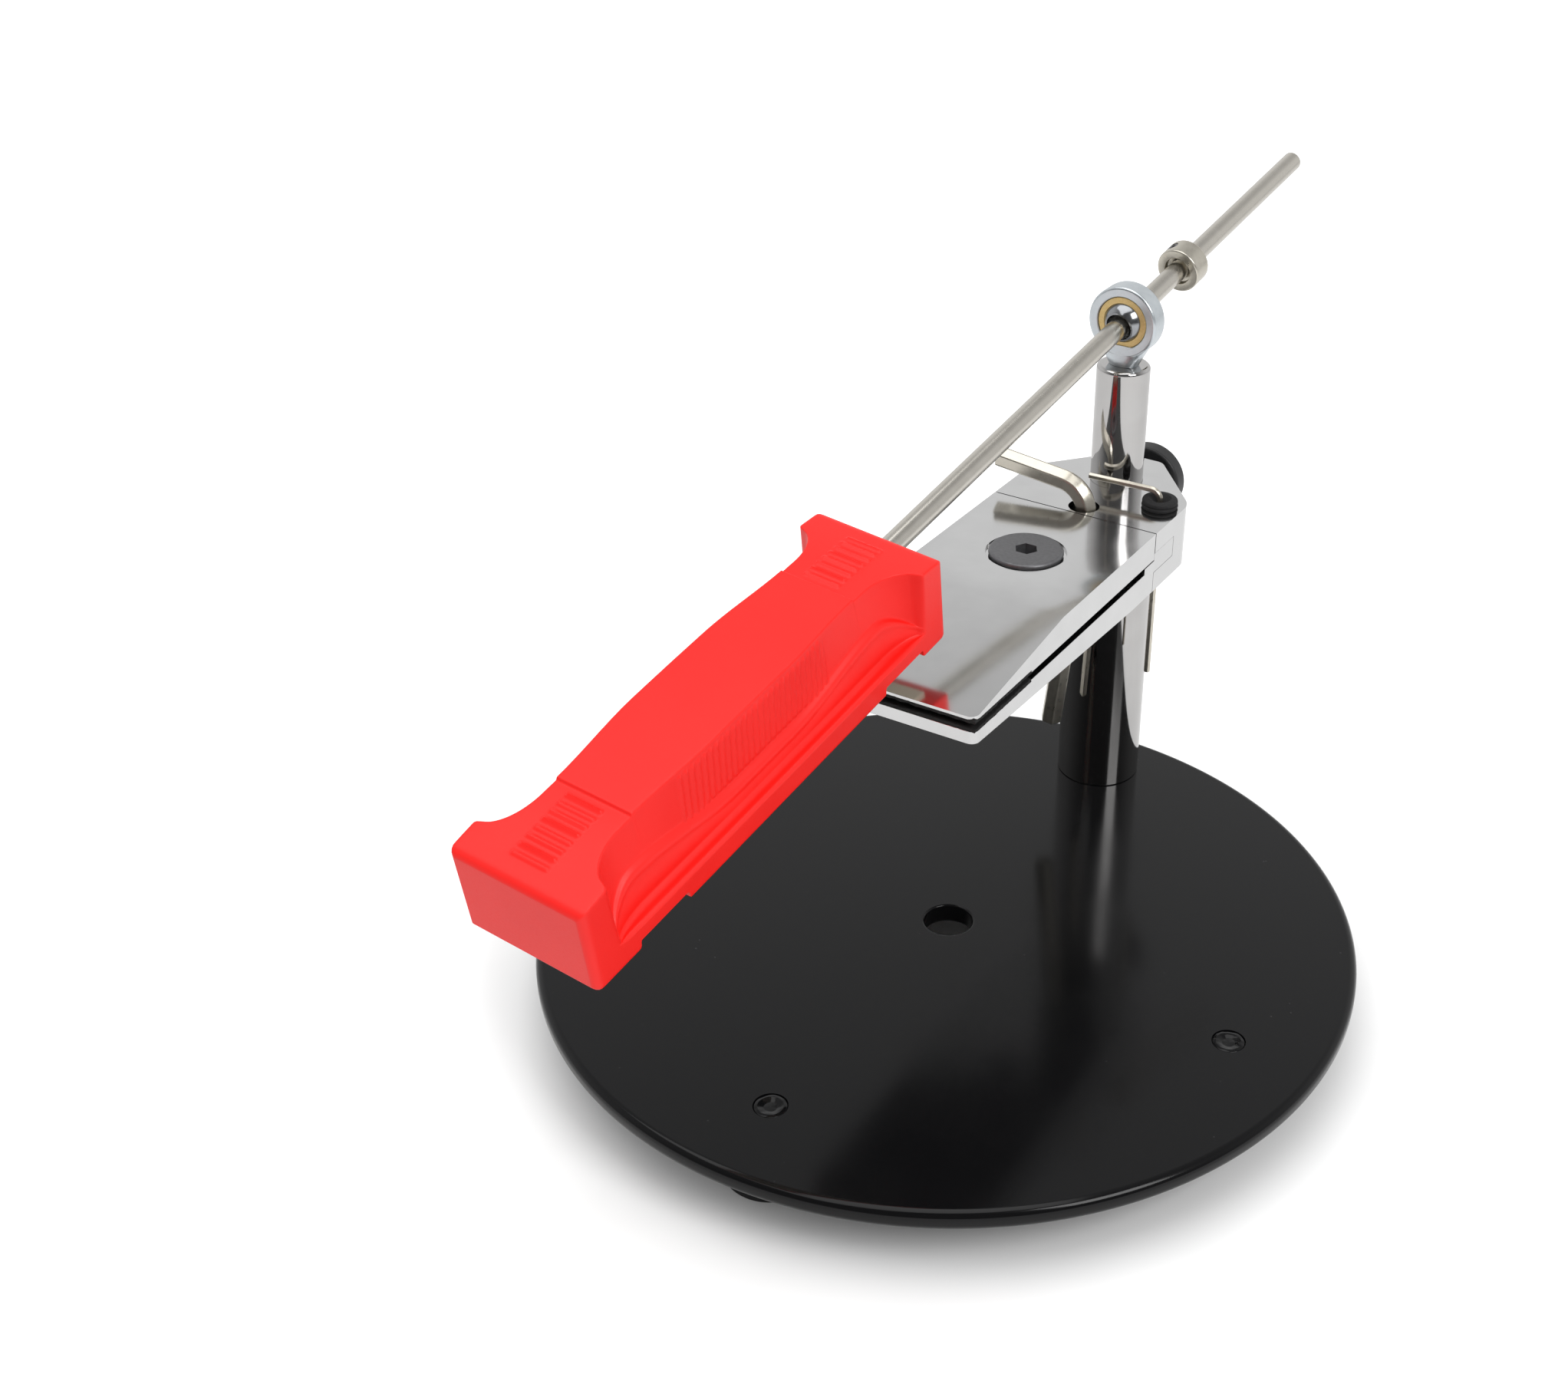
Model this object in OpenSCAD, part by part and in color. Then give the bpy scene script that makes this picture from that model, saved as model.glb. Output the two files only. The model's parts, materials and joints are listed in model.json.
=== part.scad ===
// Clamp-type honing guide: a round base with a post, a blade clamp on top of it,
// and a stone on a rod that slides and swings in a ball joint above the clamp.
// Millimetres, +Z up. The origin is the centre of the base plate's hole, at its top face.
// The post stands at +Y and the clamp reaches from it towards -Y.

/* [Base] */
// Diameter of the base plate
plate_d = 200; // [190:1:220]
// Thickness of the base plate
plate_t = 5; // [4:0.5:6]
// Diameter of the plate's centre hole
centre_hole_d = 12; // [6:1:20]
// Height of each rubber foot
foot_h = 13.5; // [12:0.5:16]
// Diameter of each rubber foot at the plate
foot_d = 24; // [22:1:28]
// Distance of the three riveted feet from the plate's centre
foot_ring_r = 78; // [70:1:84]

/* [Post] */
// Distance of the post from the plate's centre
post_y = 83; // [80:0.5:84]
// Outer diameter of the post
post_d = 22; // [20:0.5:24]
// Height of the clamp's underside above the plate
clamp_z = 71; // [66:1:90]
// Diameter of the sliding angle rod
angle_rod_d = 13.5; // [12:0.5:14]
// Height of the angle rod's top above the clamp
angle_rod_out = 31.2; // [25:0.1:40]

/* [Clamp] */
// Thickness of the clamp block
clamp_t = 16; // [16:0.5:18]
// Width of the clamp block and the jaws
clamp_w = 44.6; // [42:0.1:48]
// Reach of the jaw tips from the post's axis
jaw_reach = 113.5; // [108:0.5:120]
// Reach at which the top of the upper jaw starts to slope
bevel_reach = 73; // [70:0.5:80]
// Length of the rubber faces at the jaw tips
pad_len = 25.5; // [20:0.5:30]
// Reach of the clamp screw
screw_reach = 49.2; // [45:0.1:55]

/* [Guide rod] */
// Height of the ball's centre above the clamp
ball_rise = 42.6; // [42:0.1:44]
// Outer diameter of the rod end's head
rod_end_d = 18; // [17.5:0.1:19]
// Diameter of the guide rod
guide_d = 5; // [4.8:0.1:5]
// Swing of the guide rod away from straight ahead
guide_turn = -4.2; // [-6:0.1:6]
// Slope of the guide rod down to the stone
guide_drop = 12.2; // [11.5:0.1:12.2]
// Length of guide rod behind the ball
guide_back = 90.5; // [85:0.5:110]
// Distance of the stop collar behind the ball
collar_back = 28.5; // [24:0.5:50]

/* [Stone holder] */
// Length of the holder
holder_l = 116; // [112:1:120]
// Width of the holder
holder_w = 31.8; // [31:0.1:34]
// Height of the holder's end blocks
holder_h = 21; // [20:0.5:24]
// Distance from the ball to the holder's end face
holder_start = 105; // [100:1:115]
// Roll of the holder about the rod
holder_roll = -4.4; // [-6:0.1:6]
// How far the stone stands out below the holder
stone_out = 1.6; // [1:0.1:3]

/* [Hidden] */
$fn = 64;
play = 0.05;            // radial clearance of a sliding or turning fit
eps = 0.01;             // overshoot of a cutting shape

plate_edge_r = 2;
plate_z = -plate_t;
floor_z = plate_z - foot_h;
foot_web = 4;           // rubber left between the plate and the foot's recess
foot_turns = [-90, -4.8, 184.8];
rivet_d = 5;
rivet_flare_d = 7.7;
rivet_flare_t = 0.8;
rivet_washer_d = 11;
rivet_washer_t = 1.2;
rivet_head_d = 9.6;
rivet_head_t = 2;
rivet_recess_d = 11.4;
m8_d = 8;
m8_washer_d = 16;
m8_washer_t = 1.6;
m8_head_af = 13;
m8_head_t = 5.3;
m8_recess_d = 17;
m8_in_post = 10;
rear_head_z = plate_z - foot_web - m8_washer_t;

clamp_top = clamp_z + clamp_t;
clamp_half = clamp_w / 2;
post_socket = 5;        // how far the post's top sits in the block
bore_floor = 15.5;
angle_bore_d = angle_rod_d + 2 * play;
angle_rod_top = clamp_top + angle_rod_out;

seam_reach = 23.6;      // where the block ends and the jaws begin
seam_gap = 0.1;
rock_gap = 0.35;        // room behind the upper jaw for it to rock
block_back = 15;        // how far the block runs behind the post's axis
corner_r = 8;           // the block's side corners
back_r = 3;             // the block's rear corners
diagonal = 39.7;        // angle of the block's rear flanks to its sides
diagonal_off = 14.265;  // distance of a rear flank from the post's axis
tongue_z = [clamp_top - 10.7, clamp_top - 5.3];
slot_reach = 12.6;
tongue_gap = 0.05;
key_hole_d = 7.8;
key_hole = [0.4, post_y - 19.3];
grommet_at = [16.5, post_y - 9.4];
grommet_neck_d = 6;
grommet_depth = 4;
stud_d = 5;
stud_z = clamp_top - 8.1;

jaw_gap_z = [clamp_top - 9, clamp_top - 7];
land_reach = 29;
land_relief = 0.4;
fulcrum_reach = 31;
fulcrum_d = 3;
fulcrum_l = 36;
fulcrum_z = clamp_top - 8;
slope_reach = 35;       // where the lower jaw starts to thin
lower_tip = 12.6;       // depth of the lower jaw's underside at the tip
upper_tip = 5.8;        // depth of the upper jaw's top edge at the tip
tip_r = 2;
pad_t = 0.8;
pad_sunk = 0.5;
pad_reach = jaw_reach - pad_len;

screw_head_d = 18;
screw_rim_t = 1;
screw_proud = 0.9;
screw_cone_t = (screw_head_d - m8_d) / 2;
screw_ring_d = 19.6;
screw_ring_depth = 0.7;
screw_tip_z = clamp_z + 1;
screw_socket_af = 5;
screw_socket_depth = 3;
screw_slack = 0.35;     // room for the shank to tilt in the lower jaw

ball_z = clamp_top + ball_rise;
ball_d = 11.1;
ball_w = 8;
race_d = 13;
race_w = 5.4;
rod_end_t = 6;
neck_half = 4.4;
shank_d = 5;
shank_l = 12;
collar_d = 11.5;
collar_w = 6;
set_screw_d = 3;
set_screw_l = 3;
set_screw_af = 1.5;
set_screw_turn = 120;   // where the set screw stands round the collar

rod_below_top = 5.4;    // depth of the guide rod below the holder's end blocks
rod_in_holder = 98;
scoop_at = [8, 22];     // where a finger scoop starts and ends
scoop_depth = 7;
grip_rise = 3.4;        // how far the grip's crown stands above the end blocks
step_rise = 2.2;
grip_half = [8, 10.4];
flange_depth = 14.5;
stone_l = 106;
stone_w = 25;
stone_t = 6;
notch_at = 16;
notch_l = 12;
notch_h = 2;

large_af = 5;
large_bend = 7.5;
large_arm = 25.7;
large_leg = 69.4;
large_lean = 6.1;
large_rise = 5;         // height of the arm's axis above the clamp, at the bend
small_af = 1.5;
small_bend = 2.5;
small_arm = 19.2;
small_rise = 4.2;
small_leg = 51.6;
small_turn = -3.3;
grommet_d = 9.2;
grommet_h = 3.2;
knob_d = 19.2;
knob_t = 5;
knob_reach = 18.2;      // distance of the knob's inner face behind the post's axis
knob_r = 1.2;
knob_hub_d = 10;
knob_hub_t = 2.2;
knob_wall = 1.5;

function hex_r(af) = af / 2 / cos(30);

// Puts a side profile, drawn as [reach, height], upright and extrudes it across the clamp
module across(w) {
    translate([0, post_y, 0]) rotate([90, 0, -90])
        linear_extrude(height = w, center = true) children();
}

module base_plate() {
    r = plate_d / 2 - plate_edge_r;
    color("#141414") difference() {
        rotate_extrude($fn = 180) {
            translate([0, plate_z]) square([r, plate_t]);
            translate([0, plate_z + plate_edge_r])
                square([r + plate_edge_r, plate_t - 2 * plate_edge_r]);
            translate([r, plate_z + plate_edge_r]) circle(plate_edge_r);
            translate([r, -plate_edge_r]) circle(plate_edge_r);
        }
        translate([0, 0, plate_z - eps]) cylinder(d = centre_hole_d, h = plate_t + 2 * eps);
        translate([0, post_y, plate_z - eps]) cylinder(d = m8_d + 0.4, h = plate_t + 2 * eps);
        for (a = foot_turns) rotate([0, 0, a]) translate([foot_ring_r, 0, 0]) {
            translate([0, 0, plate_z - eps]) cylinder(d = rivet_d + 0.1, h = plate_t + 2 * eps);
            translate([0, 0, -rivet_flare_t]) cylinder(d = rivet_flare_d + 0.1, h = rivet_flare_t + eps);
        }
    }
}

module foot(hole_d, recess_d) {
    edge = 1.2;
    top = foot_d / 2;
    bottom = top - 0.8;
    color("#1a1a1a") translate([0, 0, floor_z]) difference() {
        rotate_extrude() {
            polygon([[0, 0], [bottom - edge, 0], [bottom, edge], [top, foot_h], [0, foot_h]]);
        }
        translate([0, 0, -eps]) cylinder(d = recess_d, h = foot_h - foot_web + eps);
        cylinder(d = hole_d, h = foot_h + eps);
    }
}

module riveted_foot(turn) {
    rotate([0, 0, turn]) translate([foot_ring_r, 0, 0]) foot(rivet_d + 0.1, rivet_recess_d);
}

module foot_front() { riveted_foot(foot_turns[0]); }

module foot_right() { riveted_foot(foot_turns[1]); }

module foot_left() { riveted_foot(foot_turns[2]); }

module foot_rear() { translate([0, post_y, 0]) foot(m8_d + 0.4, m8_recess_d); }

// Each rivet is flared into the plate's top and headed below the washer in its foot
module foot_rivets() {
    head_z = plate_z - foot_web - rivet_washer_t;
    dish = 0.5;
    color("#1c1c1c") for (a = foot_turns) rotate([0, 0, a]) translate([foot_ring_r, 0, 0]) difference() {
        union() {
            translate([0, 0, head_z]) cylinder(d = rivet_d, h = -head_z);
            translate([0, 0, -rivet_flare_t]) cylinder(d = rivet_flare_d, h = rivet_flare_t);
            translate([0, 0, head_z - rivet_head_t]) cylinder(d = rivet_head_d, h = rivet_head_t);
        }
        translate([0, 0, -dish]) cylinder(d1 = rivet_d - 1.6, d2 = rivet_d, h = dish + eps);
    }
}

module foot_washers() {
    z = plate_z - foot_web - rivet_washer_t;
    color("#b9bcc0") for (a = foot_turns) rotate([0, 0, a]) translate([foot_ring_r, 0, z]) difference() {
        cylinder(d = rivet_washer_d, h = rivet_washer_t);
        translate([0, 0, -eps]) cylinder(d = rivet_d + 0.1, h = rivet_washer_t + 2 * eps);
    }
}

module post_washer() {
    color("#b9bcc0") translate([0, post_y, rear_head_z]) difference() {
        cylinder(d = m8_washer_d, h = m8_washer_t);
        translate([0, 0, -eps]) cylinder(d = m8_d + 0.4, h = m8_washer_t + 2 * eps);
    }
}

module post_screw() {
    color("#a9acb0") translate([0, post_y, 0]) {
        translate([0, 0, rear_head_z - m8_head_t]) cylinder(r = hex_r(m8_head_af), h = m8_head_t, $fn = 6);
        translate([0, 0, rear_head_z]) cylinder(d = m8_d - play, h = m8_in_post - rear_head_z);
    }
}

module post() {
    top = clamp_z + post_socket;
    color("#c9ccd0") translate([0, post_y, 0]) difference() {
        cylinder(d = post_d, h = top);
        translate([0, 0, bore_floor]) cylinder(d = angle_bore_d, h = top);
        translate([0, 0, -eps]) cylinder(d = m8_d, h = m8_in_post + 2);
    }
}

function arc(centre, r, from, to) =
    [for (i = [0:6]) let(a = from + (to - from) * i / 6) centre + r * [cos(a), sin(a)]];

// Plan of the block seen from above, as [x, reach], with round side and rear corners
module block_plan() {
    side_x = clamp_half - corner_r;
    side = [side_x, (cos(diagonal) * side_x - diagonal_off + corner_r) / sin(diagonal)];
    back_reach = back_r - block_back;
    back = [(diagonal_off - back_r + sin(diagonal) * back_reach) / cos(diagonal), back_reach];
    half = concat([[clamp_half, seam_reach]], arc(side, corner_r, 0, -diagonal),
                  arc(back, back_r, -diagonal, -90));
    last = len(half) - 1;
    polygon(concat(half, [for (i = [0:last]) [-half[last - i][0], half[last - i][1]]]));
}

module rear_block() {
    color("#d6d8da") difference() {
        translate([0, post_y, clamp_z]) linear_extrude(height = clamp_t) mirror([0, 1, 0]) block_plan();
        translate([0, post_y, clamp_z - eps]) cylinder(d = post_d + play, h = post_socket + eps);
        translate([0, post_y, clamp_z]) cylinder(d = angle_bore_d, h = clamp_t + eps);
        translate([-clamp_half - 1, post_y - seam_reach - 1, tongue_z[0]])
            cube([clamp_w + 2, seam_reach - slot_reach + 1, tongue_z[1] - tongue_z[0]]);
        translate([key_hole[0], key_hole[1], clamp_z - eps]) cylinder(d = key_hole_d, h = clamp_t + 2 * eps);
        translate([grommet_at[0], grommet_at[1], clamp_z - eps])
            cylinder(d = 2 * hex_r(small_af) + 0.5, h = clamp_t + 2 * eps);
        translate([grommet_at[0], grommet_at[1], clamp_top - grommet_depth])
            cylinder(d = grommet_neck_d, h = grommet_depth + eps);
        translate([0, post_y, stud_z]) rotate([-90, 0, 0]) cylinder(d = stud_d, h = block_back + 1);
    }
}

// Cuts the tip corners of a jaw or pad to a small radius, seen from above
module tip_plan() {
    back = post_y - slot_reach + 1;
    tip = post_y - jaw_reach;
    half = clamp_half - tip_r;
    for (x = [-half, half]) translate([x, tip + tip_r]) circle(tip_r);
    translate([-half, tip]) square([2 * half, back - tip]);
    translate([-clamp_half, tip + tip_r]) square([clamp_w, back - tip - tip_r]);
}

module jaw_cut() {
    intersection() {
        children();
        translate([0, 0, clamp_z - 1]) linear_extrude(height = clamp_t + 2) tip_plan();
    }
}

module fulcrum_groove() {
    translate([0, post_y - fulcrum_reach, fulcrum_z]) rotate([0, 90, 0])
        cylinder(d = fulcrum_d + 2 * play, h = fulcrum_l + 1, center = true);
}

module lower_jaw() {
    front = seam_reach + seam_gap;
    land_z = jaw_gap_z[1] - land_relief;
    pad_z = jaw_gap_z[0] - pad_sunk;
    tongue_end = slot_reach + seam_gap;
    color("#d6d8da") difference() {
        jaw_cut() across(clamp_w) polygon([
            [tongue_end, tongue_z[0] + tongue_gap], [front, tongue_z[0] + tongue_gap],
            [front, clamp_z], [slope_reach, clamp_z], [jaw_reach, clamp_top - lower_tip],
            [jaw_reach, pad_z], [pad_reach, pad_z], [pad_reach, jaw_gap_z[0]],
            [land_reach, jaw_gap_z[0]], [land_reach, land_z], [front, land_z],
            [front, tongue_z[1] - tongue_gap], [tongue_end, tongue_z[1] - tongue_gap]]);
        translate([key_hole[0], key_hole[1], clamp_z - eps]) cylinder(d = key_hole_d, h = clamp_t);
        translate([0, post_y - screw_reach, clamp_z - eps])
            cylinder(d = m8_d + 2 * screw_slack, h = clamp_t);
        fulcrum_groove();
    }
}

module upper_jaw() {
    front = seam_reach + rock_gap;
    pad_z = jaw_gap_z[1] + pad_sunk;
    seat_top = clamp_top + screw_proud - screw_rim_t;
    color("#d6d8da") difference() {
        jaw_cut() across(clamp_w) polygon([
            [front, jaw_gap_z[1]], [pad_reach, jaw_gap_z[1]], [pad_reach, pad_z],
            [jaw_reach, pad_z], [jaw_reach, clamp_top - upper_tip], [bevel_reach, clamp_top],
            [front, clamp_top]]);
        translate([0, post_y - screw_reach, 0]) {
            translate([0, 0, clamp_z]) cylinder(d = m8_d + 2 * play, h = clamp_t);
            translate([0, 0, seat_top - screw_cone_t])
                cylinder(d1 = m8_d + 3 * play, d2 = screw_head_d + 3 * play, h = screw_cone_t);
            translate([0, 0, clamp_top - screw_ring_depth])
                cylinder(d = screw_ring_d, h = screw_ring_depth + eps);
        }
        fulcrum_groove();
    }
}

module pad(z) {
    color("#202020") jaw_cut() translate([-clamp_half, post_y - jaw_reach, z]) cube([clamp_w, pad_len, pad_t]);
}

module lower_pad() { pad(jaw_gap_z[0] - pad_sunk); }

module upper_pad() { pad(jaw_gap_z[1] + pad_sunk - pad_t); }

module jaw_fulcrum_pin() {
    color("#b9bcc0") translate([0, post_y - fulcrum_reach, fulcrum_z]) rotate([0, 90, 0])
        cylinder(d = fulcrum_d, h = fulcrum_l, center = true);
}

module clamp_screw() {
    top = clamp_top + screw_proud;
    rim = top - screw_rim_t;
    neck = rim - screw_cone_t;
    color("#1b1b1c") translate([0, post_y - screw_reach, 0]) difference() {
        union() {
            translate([0, 0, rim]) cylinder(d = screw_head_d, h = screw_rim_t);
            translate([0, 0, neck]) cylinder(d1 = m8_d, d2 = screw_head_d, h = screw_cone_t);
            translate([0, 0, screw_tip_z]) cylinder(d = m8_d, h = neck - screw_tip_z);
        }
        translate([0, 0, top - screw_socket_depth])
            cylinder(r = hex_r(screw_socket_af), h = screw_socket_depth + eps, $fn = 6);
    }
}

module angle_rod() {
    bottom = bore_floor + play;
    chamfer = 0.8;
    color("#c9ccd0") translate([0, post_y, 0]) difference() {
        union() {
            translate([0, 0, bottom]) cylinder(d = angle_rod_d, h = angle_rod_top - chamfer - bottom);
            translate([0, 0, angle_rod_top - chamfer])
                cylinder(d1 = angle_rod_d, d2 = angle_rod_d - 2 * chamfer, h = chamfer);
        }
        translate([0, 0, angle_rod_top - shank_l - 1]) cylinder(d = shank_d, h = shank_l + 1 + eps);
    }
}

module lock_knob() {
    r = knob_d / 2;
    color("#151515") translate([0, post_y + knob_reach, stud_z]) rotate([-90, 0, 0]) difference() {
        rotate_extrude() {
            translate([0, -knob_hub_t]) square([knob_hub_d / 2, knob_hub_t]);
            square([r, knob_t - knob_r]);
            square([r - knob_r, knob_t]);
            translate([r - knob_r, knob_t - knob_r]) circle(knob_r);
        }
        translate([0, 0, -knob_hub_t - eps]) cylinder(d = stud_d, h = knob_hub_t + knob_t - knob_wall);
    }
}

module lock_knob_stud() {
    tip = angle_rod_d / 2 + play;
    color("#b9bcc0") translate([0, post_y + tip, stud_z]) rotate([-90, 0, 0])
        cylinder(d = stud_d - 2 * play, h = knob_reach + knob_t - knob_wall - play - tip);
}

// Puts what is drawn along +Z on the axis of the rod end's ball, facing forwards
module at_ball() {
    translate([0, post_y, ball_z]) rotate([90, 0, 0]) children();
}

module rod_end_housing() {
    low = angle_rod_top - ball_z + play;
    color("#c2c6c9") {
        difference() {
            union() {
                at_ball() cylinder(d = rod_end_d, h = rod_end_t, center = true);
                at_ball() linear_extrude(height = rod_end_t, center = true)
                    polygon([[-neck_half, low], [neck_half, low], [6.6, -6], [-6.6, -6]]);
            }
            at_ball() cylinder(d = race_d, h = rod_end_t + 1, center = true);
        }
        translate([0, post_y, angle_rod_top - shank_l]) cylinder(d = shank_d - play, h = shank_l + 1);
    }
}

module rod_end_race() {
    color("#b08a4a") at_ball() difference() {
        cylinder(d = race_d, h = race_w, center = true);
        sphere(d = ball_d + 2 * play);
    }
}

// Puts what is drawn along +Z on the guide rod's line, with z = 0 at the ball's centre
module on_guide() {
    translate([0, post_y, ball_z]) rotate([90 + guide_drop, 0, guide_turn]) children();
}

module rod_end_ball() {
    color("#9da1a5") on_guide() difference() {
        intersection() {
            sphere(d = ball_d);
            cylinder(d = ball_d, h = ball_w, center = true);
        }
        cylinder(d = guide_d + 2 * play, h = ball_w + 1, center = true);
    }
}

module guide_rod() {
    round_r = 0.8;
    length = guide_back + holder_start + rod_in_holder;
    color("#b4b1a8") on_guide() translate([0, 0, -guide_back]) rotate_extrude() {
        translate([0, round_r]) square([guide_d / 2, length - round_r]);
        square([guide_d / 2 - round_r, round_r]);
        intersection() {
            translate([guide_d / 2 - round_r, round_r]) circle(round_r);
            square([guide_d, round_r]);
        }
    }
}

module stop_collar() {
    chamfer = 0.6;
    half = collar_w / 2;
    r = collar_d / 2;
    color("#bdbab2") on_guide() translate([0, 0, -collar_back]) difference() {
        rotate_extrude() polygon([[0, -half], [r - chamfer, -half], [r, chamfer - half],
                                  [r, half - chamfer], [r - chamfer, half], [0, half]]);
        cylinder(d = guide_d + 2 * play, h = collar_w + 1, center = true);
        rotate([0, 90, set_screw_turn]) cylinder(d = set_screw_d + 2 * play, h = r + 1);
    }
}

module collar_set_screw() {
    tip = guide_d / 2 + play;
    color("#3a3a3c") on_guide() translate([0, 0, -collar_back]) rotate([0, 90, set_screw_turn]) difference() {
        translate([0, 0, tip]) cylinder(d = set_screw_d, h = set_screw_l);
        translate([0, 0, tip + set_screw_l / 2]) cylinder(r = hex_r(set_screw_af), h = set_screw_l, $fn = 6);
    }
}

// Holder's own frame: x along the holder from its end face, y across, z = 0 at its end blocks' top
module in_holder() {
    on_guide() rotate([0, 0, holder_roll]) translate([0, rod_below_top, holder_start]) rotate([0, -90, -90])
        children();
}

// Plan of the holder seen from above: a waisted grip between two round scoops a side
module grip_plan() {
    h = holder_w / 2;
    mid = holder_l / 2;
    difference() {
        translate([0, -h]) square([holder_l, holder_w]);
        for (e = [0, 1]) for (m = [0, 1])
            translate([e * holder_l, 0]) mirror([e, 0]) mirror([0, m]) {
                translate([scoop_at[1], h]) scale([1, scoop_depth / (scoop_at[1] - scoop_at[0])])
                    circle(scoop_at[1] - scoop_at[0], $fn = 48);
            }
        for (m = [0, 1]) mirror([0, m])
            polygon([[scoop_at[1], h + 1], [scoop_at[1], grip_half[0]], [mid - 16, grip_half[1]],
                     [mid + 16, grip_half[1]], [holder_l - scoop_at[1], grip_half[0]],
                     [holder_l - scoop_at[1], h + 1]]);
    }
}

// The holder seen from the side: end blocks, sloping thumb rests, a step and an arched grip
module grip_side() {
    mid = holder_l / 2;
    s = scoop_at;
    arch = [for (i = [0:8]) let(t = i / 8 * 2 - 1)
        [mid + t * (mid - s[1]), grip_rise - (grip_rise - step_rise) * t * t]];
    polygon(concat([[0, -holder_h], [0, 0], [s[0], 0], [s[1], step_rise - 0.6]], arch,
                   [[holder_l - s[1], step_rise - 0.6], [holder_l - s[0], 0], [holder_l, 0],
                    [holder_l, -holder_h]]));
}

module stone_holder() {
    h = holder_w / 2;
    color("#e8302c") in_holder() difference() {
        intersection() {
            rotate([90, 0, 0]) linear_extrude(height = holder_w, center = true) grip_side();
            union() {
                translate([0, 0, -holder_h]) linear_extrude(height = holder_h + grip_rise) grip_plan();
                translate([0, -h, -holder_h]) cube([holder_l, holder_w, holder_h - flange_depth]);
            }
        }
        translate([0, 0, -rod_below_top]) rotate([0, 90, 0]) translate([0, 0, -eps])
            cylinder(d = guide_d + 2 * play, h = rod_in_holder + 0.5);
        translate([(holder_l - stone_l) / 2, -stone_w / 2, -holder_h - eps])
            cube([stone_l, stone_w, stone_t - stone_out + eps]);
        for (x = [notch_at - notch_l / 2, holder_l - notch_at - notch_l / 2])
            translate([x, -h - 1, -holder_h - eps]) cube([notch_l, holder_w + 2, notch_h + eps]);
    }
}

module abrasive_stone() {
    color("#e9e1cd") in_holder()
        translate([(holder_l - stone_l) / 2, -stone_w / 2, -holder_h - stone_out])
            cube([stone_l, stone_w, stone_t]);
}

// An L-shaped hexagon key: z = 0 on the arm's axis, the leg hangs down and the arm points to -X
module hex_key(af, bend, arm, leg) {
    r = hex_r(af);
    translate([0, 0, -leg]) cylinder(r = r, h = leg - bend, $fn = 6);
    translate([-bend, 0, -bend]) rotate([90, 0, 0]) rotate_extrude(angle = 90)
        translate([bend, 0]) circle(r = r, $fn = 6);
    translate([-bend, 0, 0]) rotate([0, -90, 0]) cylinder(r = r, h = arm - bend, $fn = 6);
}

module hex_key_large() {
    rise = (clamp_t / 2 + large_rise) / cos(large_lean);
    color("#b8b2a6") translate([key_hole[0], key_hole[1], clamp_top - clamp_t / 2])
        rotate([0, large_lean, 0]) translate([0, 0, rise])
            hex_key(large_af, large_bend, large_arm, large_leg);
}

module hex_key_small() {
    color("#b8b2a6") translate([grommet_at[0], grommet_at[1], clamp_top + small_rise])
        rotate([0, 0, -small_turn]) hex_key(small_af, small_bend, small_arm, small_leg);
}

module key_grommet() {
    r = grommet_d / 2;
    funnel = 1.8;
    hole = hex_r(small_af) + play;
    color("#1a1a1a") translate([grommet_at[0], grommet_at[1], clamp_top]) difference() {
        union() {
            translate([0, 0, -grommet_depth]) cylinder(d = grommet_neck_d, h = grommet_depth);
            rotate_extrude() polygon([[0, 0], [r - 0.3, 0], [r, 0.4], [r, 1.2], [r - 0.6, 1.6],
                                      [r - 0.6, 1.9], [r, 2.2], [r - 0.4, grommet_h], [0, grommet_h]]);
        }
        translate([0, 0, -grommet_depth - eps]) cylinder(r = hole, h = grommet_depth + grommet_h + 2 * eps);
        translate([0, 0, grommet_h - funnel]) cylinder(r1 = hole, r2 = hole + 1.6, h = funnel + eps);
    }
}

base_plate();
foot_front();
foot_left();
foot_right();
foot_rear();
foot_rivets();
foot_washers();
post_screw();
post_washer();
post();
rear_block();
lower_jaw();
lower_pad();
jaw_fulcrum_pin();
key_grommet();
upper_jaw();
upper_pad();
clamp_screw();
angle_rod();
lock_knob();
lock_knob_stud();
rod_end_housing();
rod_end_race();
rod_end_ball();
guide_rod();
stop_collar();
collar_set_screw();
stone_holder();
abrasive_stone();
hex_key_large();
hex_key_small();
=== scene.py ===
import json
import math

import bmesh
import bpy
import numpy as np
from mathutils import Matrix, Vector, noise


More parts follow.
